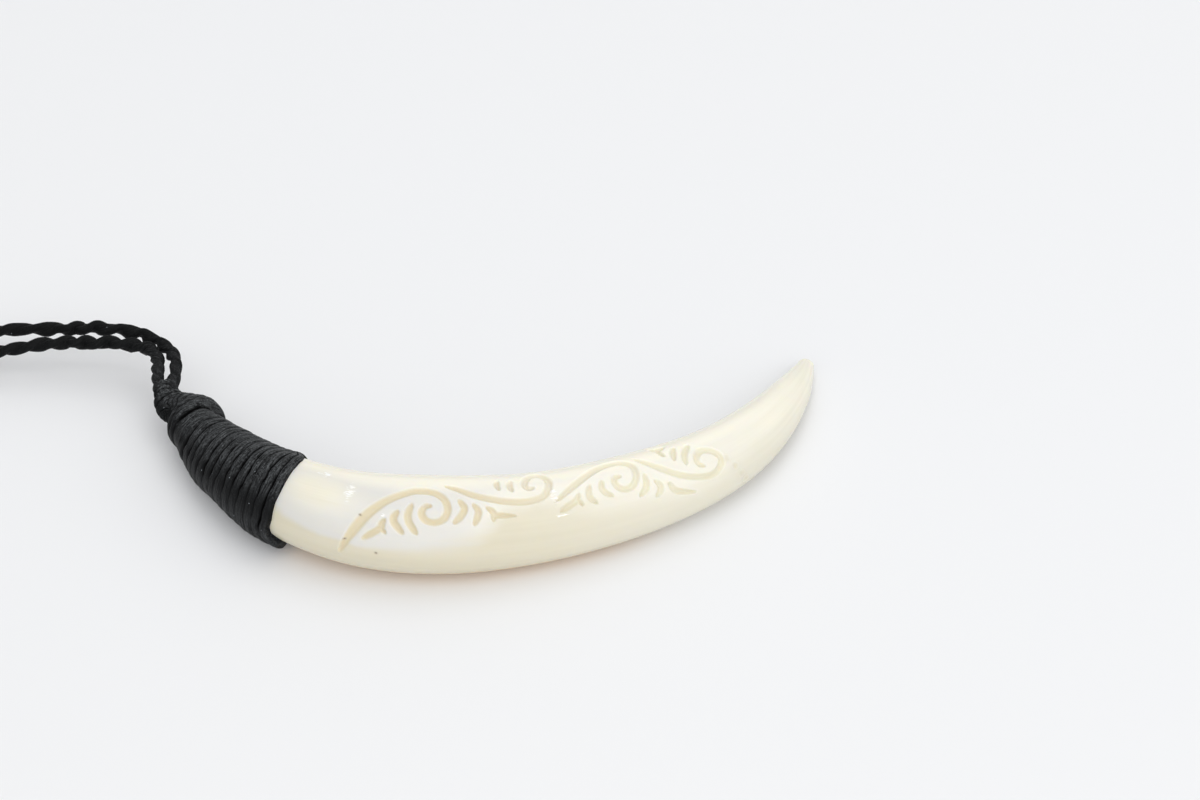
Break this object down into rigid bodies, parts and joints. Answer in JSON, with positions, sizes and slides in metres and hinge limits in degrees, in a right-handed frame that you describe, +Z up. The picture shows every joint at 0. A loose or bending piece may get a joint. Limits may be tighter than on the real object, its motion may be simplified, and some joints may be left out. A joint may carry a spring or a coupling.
{
  "type": "carved boar tusk pendant",
  "caption": "Carved and polished boar tusk, whipped at its root end with waxed thread that binds a twisted neck cord. It lies flat on a surface.",
  "frame": {"origin": "under the middle of the box round the tusk and its lashing, on the surface that they rest on", "axes": "+X from the lashed root end to the tip, along the longest side; +Z up; the tusk bows towards -Y"},
  "size_m": [0.1805, 0.0628, 0.0154],
  "materials": {
    "polished_tusk": "polished",
    "waxed_thread": "satin, waxed",
    "twisted_cord": "satin, waxed"
  },
  "bodies": {
    "root": {"tusk": "polished_tusk", "lashing": "waxed_thread", "neck_cord_far_strand": "twisted_cord", "neck_cord_near_strand": "twisted_cord", "neck_cord_coil": "twisted_cord", "coil_tie": "waxed_thread"}
  },
  "joints": []
}
